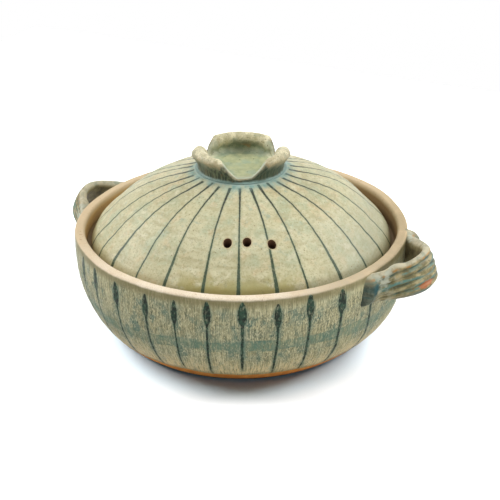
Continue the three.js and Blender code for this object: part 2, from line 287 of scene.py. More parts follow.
def leftward(points):
    """The way to the left of a run of points, at each of them."""
    tangent = np.gradient(points, axis=0)
    tangent /= np.linalg.norm(tangent, axis=1)[:, None]
    return np.stack([-tangent[:, 1], tangent[:, 0]], axis=1)


def offset(points, distance):
    """Profile points moved to the left of the way they run."""
    return points + leftward(points) * distance


def smoothstep(x, low, high):
    t = np.clip((x - low) / (high - low), 0, 1)
    return t * t * (3 - 2 * t)


def lerp(a, b, t):
    return a + (b - a) * t


def hump(x, middle, reach):
    """1 at a middle, eased down to 0 at a reach from it either way."""
    return smoothstep(np.abs(x - middle), reach, 0)


def turn_between(angles, middle):
    """How far angles lie from a middle one, in degrees either way."""
    return (angles - middle + 180) % 360 - 180


def turn_hump(angles, middle, reach):
    return hump(turn_between(angles, middle), 0, reach)


def run_before(profile, point):
    """How far before one of a profile's points the others lie, along the profile."""
    run = np.concatenate([[0], np.cumsum(step_lengths(profile))])
    return run[np.argmin(np.linalg.norm(profile - point, axis=1))] - run


def spun(radius, height, angles):
    """Points at radii and heights, round the axis at angles."""
    turn = np.radians(angles)
    return np.stack(np.broadcast_arrays(radius * np.cos(turn), radius * np.sin(turn), height), axis=-1)


def revolved(profile, columns):
    """A profile carried round the axis: rows along it, columns round the axis, with the angles."""
    angles = SEAM_ANGLE + 360 * np.arange(columns) / columns
    return spun(profile[:, :1], profile[:, 1:], angles), angles


def roughen(grid, amount, size, seed):
    """Points pushed in and out from the axis as by hand, by up to about an amount over a size."""
    shape = grid.shape[:2]
    flat = grid.reshape(-1, 3) / size + seed
    push = np.array([noise.noise(Vector(p)) for p in flat]).reshape(shape)
    radius = np.maximum(np.linalg.norm(grid[..., :2], axis=-1), 1)
    out = grid.copy()
    out[..., :2] *= (1 + amount * push / radius)[..., None]
    return out


def painted(across, along):
    """Painted coordinates from numbers round a piece and numbers along it."""
    return np.stack(np.broadcast_arrays(across, along[:, None]), axis=-1)


def skin(name, grid, paint, **marks):
    """A closed piece from a grid of points whose columns join up, with its end rows capped.

    paint gives the painted coordinates, with one column more than the grid, and marks are named numbers for
    each point, each row or each column.
    """
    rows, columns = grid.shape[:2]
    at = np.arange(rows * columns).reshape(rows, columns)
    ahead = np.roll(at, -1, axis=1)
    quads = np.stack([at[:-1], ahead[:-1], ahead[1:], at[1:]], axis=-1).reshape(-1, 4)
    caps = [at[0][::-1].tolist(), at[-1].tolist()]
    mesh = bpy.data.meshes.new(name)
    mesh.from_pydata((grid.reshape(-1, 3) * MM).tolist(), [], quads.tolist() + caps)
    corners = np.stack([paint[:-1, :-1], paint[:-1, 1:], paint[1:, 1:], paint[1:, :-1]], axis=2)
    corners = np.concatenate([corners.reshape(-1, 2), paint[0, :-1][::-1], paint[-1, :-1]])
    mesh.uv_layers.new(name="paint").data.foreach_set("uv", corners.astype(np.float32).ravel())
    for key, values in marks.items():
        layer = mesh.attributes.new(key, "FLOAT", "POINT")
        values = np.broadcast_to(values, grid.shape[:2]).astype(np.float32)
        layer.data.foreach_set("value", values.ravel())
    mesh.shade_smooth()
    piece = bpy.data.objects.new(name, mesh)
    bpy.context.scene.collection.objects.link(piece)
    return piece


def stroke_angles(seen, count):
    """All strokes round the piece in rising order: the seen ones, then even steps back to the first."""
    rest = count - len(seen)
    gap = (seen[0] + 360 - seen[-1]) / (rest + 1)
    sway = [STROKE_SWAY * gap * math.sin(2.4 * i) for i in range(rest)]
    return seen + [seen[-1] + gap * (i + 1) + sway[i] for i in range(rest)]


def stroke_phase(angles, seen, count):
    """Whole numbers at the strokes and even steps between them, for angles that rise past a full turn."""
    strokes = np.array(stroke_angles(seen, count))
    lap = np.concatenate([strokes + 360 * turn for turn in range(-1, 3)])
    return np.interp(angles, lap, np.arange(len(lap)))


def stroke_tops():
    """How far below the lip each of the bowl's strokes starts, past the foot for those behind a handle."""
    rest = [2 + 1.5 * math.sin(2.1 * i) for i in range(BOWL_STROKE_COUNT - len(BOWL_STROKE_TOPS))]
    tops = np.array(BOWL_STROKE_TOPS + rest)
    angles = np.array(stroke_angles(BOWL_STROKES, BOWL_STROKE_COUNT))
    for turn, _, _ in HANDLES.values():
        tops[np.abs(turn_between(angles, turn)) < HANDLE_CLEAR] = 2 * RIM_HEIGHT
    return tops


def bowl_wall(steps):
    return bezier(
        (FOOT_RADIUS, FOOT_BEVEL),
        (RIM_RADIUS + BELLY_FULLNESS, BELLY_HEIGHT),
        (RIM_RADIUS, RIM_HEIGHT - LIP_ROUND),
        steps,
    )


def bowl_radius_at(height):
    wall = bowl_wall(400)
    return np.interp(height, wall[:, 1], wall[:, 0])


def make_bowl():
    wall = bowl_wall(84)
    ring = FOOT_RADIUS - FOOT_BEVEL - FOOT_RING_WIDTH
    sole = [(BOWL_CAP, FOOT_RECESS), (ring - FOOT_RECESS, FOOT_RECESS), (ring, 0)]
    under = eased([*sole, (FOOT_RADIUS - FOOT_BEVEL, 0), (FOOT_RADIUS, FOOT_BEVEL)], 0.7, 5)
    lip_height = RIM_HEIGHT - LIP_ROUND
    inner_edge = RIM_RADIUS - LIP_THICKNESS + LIP_ROUND
    lip = chain(
        arc((RIM_RADIUS - LIP_ROUND, lip_height), LIP_ROUND, LIP_ROUND, 0, 90, 7),
        line((RIM_RADIUS - LIP_ROUND, RIM_HEIGHT), (inner_edge, RIM_HEIGHT), 4),
        arc((inner_edge, lip_height), LIP_ROUND, LIP_ROUND, 90, 180, 7),
    )
    nose = GALLERY_RADIUS - LEDGE_WIDTH
    under_ledge = LEDGE_HEIGHT - LEDGE_THICKNESS
    inside = offset(bowl_wall(60), BOWL_WALL)[::-1]
    inside = inside[inside[:, 1] < under_ledge - LEDGE_WIDTH]
    inside = inside[inside[:, 1] > FLOOR_HEIGHT + FLOOR_ROUND_RISE]
    heel = inside[-1]
    ledge = [(GALLERY_RADIUS, LEDGE_HEIGHT), (nose, LEDGE_HEIGHT), (nose, under_ledge)]
    gallery = eased([lip[-1], *ledge, inside[0]], 1, 2)
    floor_start = (heel[0] - FLOOR_ROUND, FLOOR_HEIGHT)
    floor_round = bezier(heel, (heel[0] - FLOOR_ROUND / 2, FLOOR_HEIGHT), floor_start, 6)
    floor = line(floor_start, (BOWL_CAP, FLOOR_HEIGHT), 24)
    profile = chain(under, wall, lip, gallery, inside, floor_round, floor)
    below = run_before(profile, wall[-1])
    grid, angles = revolved(profile, COLUMNS)
    height = grid[..., 2]  # part of the grid, so that a change here moves its points
    # The rim dips where the left handle was pressed on, and the wall is fuller low on the right.
    rim = smoothstep(below, *RIM_DIP_FADE) * smoothstep(below, *RIM_DIP_INNER_FADE)
    height -= RIM_DIP * rim[:, None] * turn_hump(angles, *RIM_DIP_TURN)
    full = hump(height, *FULL_SPAN) * (below > 0)[:, None] * turn_hump(angles, *FULL_TURN)
    grid[..., :2] *= (1 + FULL_AMOUNT * full / RIM_RADIUS)[..., None]
    # Throwing rings show inside and faintly outside.
    pitch, ring_inside, ring_outside = BOWL_RINGS
    rings = np.where(below < RINGS_INSIDE, ring_inside, ring_outside) * (np.abs(below) > LIP_SMOOTH)
    wave = np.sin(2 * np.pi * (below[:, None] / pitch + angles / 360))
    grid[..., :2] *= (1 + (rings[:, None] * wave) / np.maximum(profile[:, 0, None], AXIS_CALM))[..., None]
    # The foot stays flat on the table.
    body = smoothstep(height[:, :1], *FOOT_FADE)
    grid = lerp(grid, roughen(grid, *BOWL_HANDWORK), body[..., None])
    phase = stroke_phase(np.append(angles, angles[0] + 360), BOWL_STROKES, BOWL_STROKE_COUNT)
    tops = stroke_tops()[np.round(phase[:-1]).astype(int) % BOWL_STROKE_COUNT]
    return skin("thrown_bowl", grid, painted(phase, below), stroke_top=tops)


def lid_outside(steps):
    edge = np.array([LID_RADIUS, LID_EDGE_HEIGHT], float)
    shoulder = np.array([LID_RADIUS - LID_SHOULDER_INSET, LID_SHOULDER_HEIGHT], float)
    crown = np.array([KNOB_FOOT_RADIUS + CROWN_MARGIN, LID_RISE])
    down = (shoulder - crown) / np.linalg.norm(shoulder - crown)
    swell = np.array([-down[1], down[0]]) * 2 * LID_BULGE
    return chain(
        bezier(edge, shoulder + down * LID_SHOULDER_ROUND, shoulder, steps // 3),
        bezier(shoulder, (shoulder + crown) / 2 + swell, crown, steps),
    )


def make_lid():
    outside = lid_outside(66)
    inside = offset(lid_outside(30), LID_WALL)[::-1]
    ceiling = LID_RISE - LID_WALL
    inside = inside[inside[:, 1] < ceiling]
    top = line((LID_CAP, ceiling), (inside[0, 0] - 2, ceiling), 8)
    edge = eased([inside[-1], (LID_RADIUS - LID_LAND, 0), (LID_RADIUS, 0), outside[0]], 1.3, 2)
    crown = line(outside[-1], (LID_CAP, LID_RISE), 8)
    profile = chain(top, inside, edge, outside, crown)
    down = run_before(profile, outside[-1])
    radius = profile[:, 0]
    grid, angles = revolved(profile, COLUMNS)
    height = grid[..., 2]  # part of the grid, so that a change here moves its points
    # The cone is rounder than the solids' and its shoulder slacker, and it is fuller on the viewer's right.
    outer = (down > 0) & (down <= np.sum(step_lengths(outside)))
    dome = LID_DOME * hump(radius, *LID_DOME_SPAN) - LID_SLUMP * hump(radius, *LID_SLUMP_SPAN)
    height += (dome * outer)[:, None]
    swell = LID_SWELL * np.sin(np.clip(down / LID_SWELL_LENGTH, 0, 1) * np.pi) ** 2 * outer
    height += swell[:, None] * turn_hump(angles, *LID_SWELL_TURN)
    pitch, ring_height = LID_RINGS
    wave = np.sin(2 * np.pi * (down[:, None] / pitch + angles / 360))
    height += ring_height * wave * smoothstep(down, *LID_RING_FADE)[:, None]
    height += LID_HEIGHT
    body = smoothstep(down, *CROWN_FADE) * smoothstep(profile[:, 1], *LAND_FADE)
    grid = lerp(grid, roughen(grid, *LID_HANDWORK), body[:, None, None])
    every = np.append(angles, angles[0] + 360)
    lean = (STROKE_DRAW * smoothstep(radius, *STROKE_DRAW_FADE) / np.maximum(radius, AXIS_CALM))[:, None]
    bend = np.degrees(lean * np.sin(np.radians(every - FRONT)))
    phase = stroke_phase(every + bend, LID_STROKES, LID_STROKE_COUNT)
    lid = skin("thrown_lid", grid, painted(phase, down))
    for place in steam_hole_places():
        punch(lid, place)
    return lid


def steam_hole_places():
    turn = np.radians(LID_TURN)
    along = np.array([np.cos(turn), np.sin(turn)])
    away = np.array([np.sin(turn), -np.cos(turn)])
    return [along * x + away * (STEAM_HOLE_DISTANCE + HOLE_SHIFT) for x in STEAM_HOLE_OFFSETS]


def punch(piece, place):
    """Cuts a steam hole, and marks its wall with painted coordinates of their own."""
    ends = np.array([[LID_HEIGHT - DRILL_MARGIN], [LID_HEIGHT + LID_RISE + DRILL_MARGIN]])
    grid = spun(STEAM_HOLE_DIAMETER / 2, ends, 360 * np.arange(HOLE_SIDES) / HOLE_SIDES) + (*place, 0)
    drill = skin("drill", grid, np.full((2, HOLE_SIDES + 1, 2), (0.5, HOLE_MARK)))
    cut = piece.modifiers.new("hole", "BOOLEAN")
    cut.operation = "DIFFERENCE"
    cut.solver = "EXACT"
    cut.object = drill
    made = bpy.data.meshes.new_from_object(piece.evaluated_get(bpy.context.evaluated_depsgraph_get()))
    old = piece.data
    piece.modifiers.clear()
    piece.data = made
    made.name = piece.name
    spare = drill.data
    bpy.data.objects.remove(drill)
    for mesh in (old, spare):
        bpy.data.meshes.remove(mesh)


def petal_rise(angle):
    """0 in a notch and 1 along a petal, with straighter sides than an ease."""
    start, end = PETAL_SIDE
    rises = []
    for at, spread in NOTCHES:
        away = (abs(turn_between(angle, at)) / spread - NOTCH_FLAT) / (1 - NOTCH_FLAT)
        straight = np.clip((away - start) / (end - start), 0, 1)
        rises.append(lerp(straight, smoothstep(away, 0, 1), PETAL_EASE))
    return min(rises)


def knob_section(angle):
    """Half of the knob cut through its axis, with how far along its skin each point lies."""
    rise = petal_rise(angle)
    back = max(0, math.sin(math.radians(angle)))
    front = smoothstep(-math.sin(math.radians(angle)), *KNOB_CLIMB)
    petal = KNOB_HEIGHT + KNOB_BACK_RISE * back + KNOB_FRONT_RISE * front
    height = lerp(NOTCH_HEIGHT, petal, rise)
    radius = lerp(KNOB_FOOT_RADIUS, KNOB_RIM_RADIUS - KNOB_BACK_LEAN * back, rise)
    taper = 1 - BEAD_TAPER * smoothstep(abs(turn_between(angle, FRONT_NOTCH)), *BEAD_TAPER_FADE)
    across = lerp(KNOB_WALL, KNOB_BEAD * taper, smoothstep(rise, *BEAD_FADE)) / 2
    up = min(across, height - CUP_FLOOR)
    middle = (radius - across, height - up)
    roll = arc(middle, across, up, 0, 180 + BEAD_UNDERCUT * rise, 18)
    skirt = (KNOB_FOOT_RADIUS + KNOB_FLARE, -0.1)
    flare = bezier(skirt, (KNOB_FOOT_RADIUS, 0.2), (KNOB_FOOT_RADIUS, KNOB_FLARE), 4)
    outside = bezier(flare[-1], (KNOB_FOOT_RADIUS, max(2.2, middle[1] / 2)), roll[0], 10)
    inside = bezier(roll[-1], (KNOB_FOOT_RADIUS - KNOB_WALL, CUP_FLOOR), (CUP_FLOOR_RADIUS, CUP_FLOOR), 20)
    dish = CUP_FLOOR - CUP_DISH
    floor = bezier((CUP_FLOOR_RADIUS, CUP_FLOOR), (CUP_DISH_RADIUS, dish), (KNOB_CAP, dish), 6)
    parts = [flare, outside, roll, inside, floor]
    stops = [0, 0.2, 1, 2, 3, 3]
    way = [np.linspace(a, b, len(part))[1:] for a, b, part in zip(stops, stops[1:], parts)]
    points = np.vstack([flare[:1], *(part[1:] for part in parts)])
    return points, np.concatenate([[0], *way]), rise, back


def make_knob():
    angles = 360 * np.arange(KNOB_COLUMNS) / KNOB_COLUMNS
    points, way, rise, back = (np.array(values) for values in zip(*map(knob_section, angles)))
    radius, height = points[..., 0].T, points[..., 1].T
    way = way.T
    rings = np.sin(2 * np.pi * radius / CUP_RING_PITCH) * smoothstep(way, *CUP_RING_FADE)
    grid = spun(radius, height + KNOB_BASE + CUP_RING_HEIGHT * rings, angles + LID_TURN)
    handwork = smoothstep(way, *KNOB_FOOT_FADE) * smoothstep(way, *CUP_FADE)
    grid = lerp(grid, roughen(grid, *KNOB_HANDWORK), handwork[..., None])
    paint = painted(np.append(angles, 360), way[:, 0] * 10)
    return skin("petal_knob", grid, paint, way=way, rise=rise, back=back)


def strap_path(wall_radius, rows):
    """A strap's middle line at even steps, foot to foot: distance along the wall, x and y."""
    reach = HANDLE_HALF_SPAN + HANDLE_FOOT_LENGTH + FOOT_SMEAR
    along = np.linspace(reach, -reach, 1201)
    share = np.minimum(1, np.abs(along) / HANDLE_HALF_SPAN)
    loop = np.cos(share * np.pi / 2) ** LOOP_POWER
    radius = wall_radius + lerp(HANDLE_FOOT_RISE, HANDLE_REACH - STRAP_THICKNESS / 2, loop)
    weights = np.hanning(2 * BEND_EASE + 1)
    radius = np.convolve(np.pad(radius, BEND_EASE, mode="edge"), weights / weights.sum(), mode="valid")
    x, y = radius * np.cos(along / wall_radius), radius * np.sin(along / wall_radius)
    run = np.concatenate([[0], np.cumsum(np.hypot(np.diff(x), np.diff(y)))])
    even = np.linspace(0, run[-1], rows)
    return [np.interp(even, run, values) for values in (along, x, y)]


def superellipse(v, power):
    """1 in the middle of a face and 0 at its edges, at shares v across it."""
    return 1 - np.abs(2 * v - 1) ** power


def make_handle(name):
    turn, drop, loop_width = HANDLES[name]
    lean, further, higher, deeper = STANCES[name]
    height = RIM_HEIGHT - drop
    wall = float(bowl_radius_at(height))
    run, x, y = strap_path(wall, STRAP_ROWS)
    path = np.stack([x, y], axis=1)
    # Rows lie along the strap, and columns go over its outer face and back along its inner one.
    along = run[:, None]
    far = np.abs(along)
    reach = HANDLE_HALF_SPAN + HANDLE_FOOT_LENGTH
    to_foot = smoothstep(far / reach, 0, 1)
    free = 1 - to_foot
    pressed = smoothstep(far - HANDLE_HALF_SPAN, *PRESSED_FADE)
    behind = along * math.cos(math.radians(turn)) > 0
    lump = hump(far, *LUMP_SPAN) * behind
    bump = hump(far, *BUMP_SPAN) * ~behind
    v = np.linspace(0, 1, OUTER_POINTS)
    w = np.linspace(1, 0, INNER_POINTS + 2)[1:-1]
    both = np.concatenate([v, w])
    seed = turn / 10 + 5
    wander_length, wander = RIDGE_WANDER
    drift = np.array([[noise.noise(Vector((a / wander_length, seed, 0)))] for a in run])
    spots = [[Vector((a / UNEVEN_LENGTH, seed + 3, UNEVEN_ACROSS * p)) for p in v] for a in run]
    uneven = np.array([[noise.noise(spot) for spot in row] for row in spots])

    ridge_at = np.clip(v + wander * drift * np.sin(np.pi * v), 0, 1)
    ridge = np.abs(np.sin(np.pi * STRAP_RIDGES * ridge_at))
    depth = RIDGE_DEPTH * np.clip(1 + RIDGE_UNEVEN * uneven, 0.1, 2) * (1 - PRESSED_FLAT * pressed)
    width = loop_width * lerp(1, STRAP_FOOT_SHARE, to_foot)
    flat_z = (both - 0.5) * width + pressed * lerp(-SKIRT_DOWN, SKIRT_UP + LUMP_UP * lump, both)
    flat_z += BUMP_UP * bump * both**3
    flat_z[:, OUTER_POINTS:] -= deeper * (1 - w) * (1 - pressed)
    sunk = bowl_radius_at(height + flat_z) - wall - HANDLE_FOOT_RISE - FOOT_SINK
    sunk_outer, sunk_inner = sunk[:, :OUTER_POINTS], sunk[:, OUTER_POINTS:]
    half = STRAP_THICKNESS / 2 + depth * (ridge - 1)
    outer = np.sqrt(superellipse(v, 4)) * (half + FACE_UNEVEN * uneven)
    slanted = smoothstep(far + FOOT_SLANT * v, reach + FOOT_SMEAR, reach - 3)
    end = np.where(behind, smoothstep(far, reach + FOOT_SMEAR, reach), slanted)
    cushion = superellipse(v, 3) ** PAD_FULLNESS * end
    proud = LUMP_OUT * lump * smoothstep(v, *LUMP_FADE)
    outer_pad = sunk_outer + (half + PAD_UNEVEN * uneven + proud - sunk_outer) * cushion
    inner_half = STRAP_THICKNESS / 2 + STRAP_THICKENING * smoothstep(far, *STRAP_THICKENING_FADE)
    inner = -np.sqrt(superellipse(w, 4)) * inner_half
    inner_pad = np.minimum(inner, sunk_inner - 1)
    flat_x = np.concatenate([lerp(outer, outer_pad, pressed), lerp(inner, inner_pad, pressed)], axis=1)

    tilt = math.radians(HANDLE_TILT + lean) * free
    out = flat_x * np.cos(tilt) - flat_z * np.sin(tilt) + further * free
    up = flat_x * np.sin(tilt) + flat_z * np.cos(tilt)
    level = height + (HANDLE_LIFT + higher) * free
    plan = path[:, None] + leftward(path)[:, None] * out[..., None]
    cos, sin = math.cos(math.radians(turn)), math.sin(math.radians(turn))
    x, y = plan[..., 0] * cos - plan[..., 1] * sin, plan[..., 0] * sin + plan[..., 1] * cos
    grid = np.stack([x, y, level + up], axis=-1)
    groove = np.pad((1 - ridge) * depth / RIDGE_DEPTH, ((0, 0), (0, INNER_POINTS)))
    face = np.arange(len(both)) < OUTER_POINTS
    paint = painted(np.arange(len(both) + 1), run)
    return skin("strap_" + name, grid, paint, groove=groove, across=both, face=face, along=along)


def srgb(code):
    """A colour written as in a paint program, as the shader's linear numbers."""
    parts = [int(code[i : i + 2], 16) / 255 for i in (0, 2, 4)]
    return [c / 12.92 if c <= 0.04045 else ((c + 0.055) / 1.055) ** 2.4 for c in parts] + [1]


def operator(name):
    """A method that adds a math node for a wire and another number."""
    return lambda wire, other=0.0: wire.graph.math(name, wire, other)


class Wire:
    """What a node gives. Arithmetic with it adds the nodes that work it out."""

    def __init__(self, graph, socket):
        self.graph = graph
        self.socket = socket

    __add__ = operator("ADD")
    __sub__ = operator("SUBTRACT")
    __mul__ = operator("MULTIPLY")
    __truediv__ = operator("DIVIDE")
    __abs__ = operator("ABSOLUTE")

    def __rsub__(self, other):
        return self.graph.math("SUBTRACT", other, self)


class Graph:
    """The nodes of a material or a world, added and linked step by step."""

    def __init__(self, name, kind="materials"):
        self.owner = getattr(bpy.data, kind).new(name)
        self.owner.use_nodes = True
        self.tree = self.owner.node_tree

    def node(self, kind, inputs, output=0, **settings):
        """Adds a node and gives one of its outputs."""
        made = self.tree.nodes.new("ShaderNode" + kind)
        for key, value in settings.items():
            setattr(made, key, value)
        self.feed(made, inputs)
        return Wire(self, made.outputs[output])

    def feed(self, node, inputs):
        for key, value in inputs.items():
            if isinstance(value, Wire):
                self.tree.links.new(value.socket, node.inputs[key])
            else:
                node.inputs[key].default_value = value

    def math(self, operation, a, b=0.0):
        return self.node("Math", {0: a, 1: b}, operation=operation)

    def vector(self, operation, a, b=(0, 0, 0), output=0):
        return self.node("VectorMath", {0: a, 1: b}, output, operation=operation)

    def smooth(self, value, low, high, start=0.0, end=1.0):
        inputs = {"Value": value, "From Min": low, "From Max": high, "To Min": start, "To Max": end}
        return self.node("MapRange", inputs, interpolation_type="SMOOTHSTEP")

    def between(self, value, start, full, fall, end):
        """1 from full to fall, eased to 0 at a start and an end."""
        return self.smooth(value, start, full) * self.smooth(value, end, fall)

    def mix(self, share, a, b):
        a, b = (srgb(c) if isinstance(c, str) else c for c in (a, b))
        return self.node("Mix", {0: share, 6: a, 7: b}, 2, data_type="RGBA")

    def tones(self, value, a, b, low=0.35):
        """Two colours that pass into each other about the middle of a noise."""
        return self.mix(self.smooth(value, low, 1 - low), a, b)

    def coats(self, color, *coats):
        """A colour with others over it.

        Each has a share, or a value with a low and a high end, and the share that it has at the high end.
        """
        for over, value, *span in coats:
            share = self.smooth(value, *span[:2], 0, *span[2:]) if span else value
            color = self.mix(share, color, over)
        return color

    def noise(self, vector, size, detail=3.0, rough=0.5, shift=None):
        if shift:
            vector = self.vector("ADD", vector, shift)
        inputs = {"Vector": vector, "Scale": 1 / size, "Detail": detail, "Roughness": rough}
        return self.node("TexNoise", inputs)

    def sway(self, vector, size, amount, detail=3.0):
        """Noise that goes either way from 0."""
        return (self.noise(vector, size, detail) - 0.5) * amount

    def paint(self):
        uv = self.node("UVMap", {}, uv_map="paint")
        return [self.node("SeparateXYZ", {0: uv}, i) for i in (0, 1)]

    def marks(self, *names):
        return [self.node("Attribute", {}, "Fac", attribute_name=name) for name in names]

    def place(self):
        """Where a point of the piece lies, in millimetres."""
        return self.scaled(self.node("TexCoord", {}, "Object"), (1 / MM, 1 / MM, 1 / MM))

    def scaled(self, vector, scale):
        return self.vector("MULTIPLY", vector, scale)

    def flat(self, spot):
        return self.scaled(spot, (1, 1, 0))

    def heading(self, spot):
        """The level way from the axis to a point, as a vector of length 1."""
        return self.vector("NORMALIZE", self.flat(spot))

    def wrapped(self, spot, run, radius, stretch):
        """Coordinates that go round the axis at one radius and along a run, which is stretched."""
        ring = self.scaled(self.heading(spot), (radius, radius, radius))
        return self.vector("ADD", ring, self.node("CombineXYZ", {2: run / stretch}))

    def reach(self, spot):
        """Distance from the axis."""
        return self.vector("LENGTH", self.flat(spot), output="Value")

    def facing(self, spot, angle):
        """1 where a point lies at an angle about the axis, down to -1 opposite."""
        way = (math.cos(math.radians(angle)), math.sin(math.radians(angle)), 0)
        return self.vector("DOT_PRODUCT", self.heading(spot), way, "Value")

    def chance(self, number, shift, low, high, start=0.0):
        """A number from low to high that is the same for the same whole number."""
        drawn = self.node("TexWhiteNoise", {"W": number + shift}, "Value", noise_dimensions="1D")
        return self.smooth(drawn, start, 1, low, high)

    def curve(self, value, pairs):
        """Values between pairs of (input, output), smoothly."""
        most_in = pairs[-1][0]
        most_out = max(p[1] for p in pairs)
        made = self.node("FloatCurve", {"Value": value / most_in})
        mapping = made.socket.node.mapping
        points = mapping.curves[0].points
        while len(points) < len(pairs):
            points.new(0.5, 0.5)
        for point, (x, y) in zip(points, pairs):
            point.location = (x / most_in, y / most_out)
        mapping.update()
        return made * most_out

    def end(self, shader, **inputs):
        """Feeds the shader, whose inputs are named with _ for a space."""
        named = {key.replace("_", " "): value for key, value in inputs.items()}
        self.feed(self.tree.nodes[shader], named)
        return self.owner

    def glaze(self, color, rough, height):
        """Ends a material with its colour, its roughness and its relief in millimetres."""
        bump = self.node("Bump", {"Height": height, "Distance": MM, "Strength": 1})
        return self.end(
            "Principled BSDF", Base_Color=color, Roughness=rough, Normal=bump, Specular_IOR_Level=SHEEN
        )


def bowl_material():
    g = Graph("bowl_glaze")
    phase, below = g.paint()
    (stroke_top,) = g.marks("stroke_top")
    spot = g.place()
    radius = g.reach(spot)
    right = g.facing(spot, 0)
    stretches = (1, 1.4, 1.5, 2.6, 14)
    around, loose, longer, tall, combed = (g.wrapped(spot, below, RIM_RADIUS, s) for s in stretches)
    level = g.wrapped(spot, below * 9, RIM_RADIUS, 1)
    clouds = g.noise(spot, 34)
    patches = g.noise(spot, 14, shift=(31, 17, 5))
    hair = g.noise(combed, 0.9, 2)
    grain = g.noise(spot, 0.9, 3, 0.6)

    # Short dark upright marks and green smudges, thickest between the lip and the band.
    zone = g.smooth(below, 5, 12) * g.smooth(below, 62, 42, 0.6, 1)
    crowd = zone * g.smooth(g.noise(spot, 20, 2, shift=(7, 3, 90)), 0.3, 0.6, 0.4, 1)
    smudge = g.smooth(g.noise(longer, 8), 0.48, 0.64, 0, 0.8) * crowd
    marks = g.smooth(g.noise(tall, 0.75, 3, 0.7), 0.5, 0.62) * crowd
    flecks = g.noise(tall, 0.8, 2, shift=(9, 9, 9))
    # The uneven teal band, with a darker hem.
    middle = g.smooth(g.facing(spot, -58), 0.65, 1, 45, 39.5)
    away = abs(below - middle + g.sway(level, 22, 9))
    worn = g.smooth(g.noise(tall, 2.2, 4, 0.65), 0.36, 0.6, 0.3, 1)
    fade = g.smooth(g.noise(g.flat(around), 55, 1), 0.36, 0.6, 0.6, 1)
    band = g.smooth(away, 6.5, 3.2) * worn * fade
    hem = g.smooth(abs(away - 4.2), 1.3, 0.2) * worn * g.smooth(g.noise(level, 9, 2), 0.45, 0.62, 0, 0.7)
    # Brush strokes.
    number = g.math("ROUND", phase)
    pitch = radius * (2 * math.pi / BOWL_STROKE_COUNT)
    low = below - stroke_top
    drift = g.sway(loose, 24, 4, 1) * g.smooth(low, 16, 40)
    side = abs((phase - number) * pitch + drift + g.sway(around, 1.3, 1.2, 2))
    size = g.chance(number, 7.1, 0.82, 1.12)
    inside = side - g.curve(low, BOWL_STROKE_SHAPE) * size
    reach = g.chance(number, 4.7, 76, 90)
    shown = g.between(low, -0.4, 0.6, reach - 14, reach)
    halo = g.smooth(inside, 2.6, 0, 0, 0.45) * shown
    stroke = g.smooth(inside, 0.35, -0.35) * shown
    inked = stroke * g.smooth(g.noise(tall, 1.4, 3, 0.6), 0.52, 0.66, 1, 0.5)
    ink = g.mix(g.smooth(g.noise(around, 3), 0.38, 0.66), "0b1a10", "264534")
    # Olive glaze that gathers under the lip, darker there as painted shade, and bare clay on the lip, palest
    # in front as painted light.
    gather_and_shade = g.smooth(below, 8, 2, 0, 0.9) * g.smooth(patches, 0.35, 0.6, 0.75, 1)
    fringe = g.sway(around, 5, 3)
    lip = g.smooth(below + fringe * 0.35, 0.4, -1.6)
    # In the gallery the clay is lighter on the left and darker on the right, as painted light and shade, and
    # darker deeper down as painted shade.
    ledge = g.coats(g.mix(g.smooth(right, -0.3, 0.7), "caa670", "937752"), ("76644a", below, -20, -26))
    clay = g.coats(
        # Paler in front as painted light, and darker on the right side as painted shade.
        g.mix(g.smooth(g.facing(spot, FRONT), 0.1, 0.95), "cfba98", "f4e6cf"),
        ("ab9a78", right, 0.5, 0.9, 0.7),
        ("cfb78f", grain, 0.4, 0.7, 0.5),
        ("d9c19b", g.noise(spot, 14, 2), 0.4, 0.7, 0.4),
        (ledge, below, -9.5, -14),
        ("a2714c", g.noise(spot, 1.7, 1, shift=(3, 55, 8)), 0.7, 0.76, 0.7),
    )
    # Pale glaze inside, below the ledge.
    inner = g.smooth(below + fringe, -39, -42)
    within = g.coats(g.tones(clouds, "c9c5a2", "d6ceab", 0.36), ("b4bd9f", patches, 0.45, 0.7, 0.6))
    # Bare orange clay at the foot, with a wavy edge of thicker glaze.
    foot_edge = float(np.sum(step_lengths(bowl_wall(200))))
    glaze_edge = foot_edge - GLAZE_END
    wavy = below + g.sway(around, 12, 5)
    foot = g.smooth(wavy, glaze_edge - 0.5, glaze_edge + 0.4)
    # Under the foot the clay is browner, with the rings of its turning.
    turned = g.math("SINE", (radius + g.noise(spot, 12, 2)) * (2 * math.pi / SOLE_RING_PITCH))
    under = g.smooth(below, foot_edge + 0.5, foot_edge + 3)
    sole = g.coats(
        g.tones(g.noise(spot, 16, 4), "86653f", "a8835a"),
        ("6e543b", g.noise(spot, 30, 2, shift=(8, 8, 1)), 0.5, 0.7, 0.6),
        ("5f4630", grain, 0.52, 0.72, 0.6),
        ("c09a6c", turned, 0.2, 1, 0.35),
    )
    bare = g.coats(
        g.tones(g.noise(spot, 7), "c67a36", "da944a"),
        ("91562f", grain, 0.55, 0.75, 0.5),
        # Painted contact shade: dark over the lowest few millimetres of the wall and the foot's edge.
        ("4d3f31", below, foot_edge - 4, foot_edge - 0.5),
        (sole, under),
    )

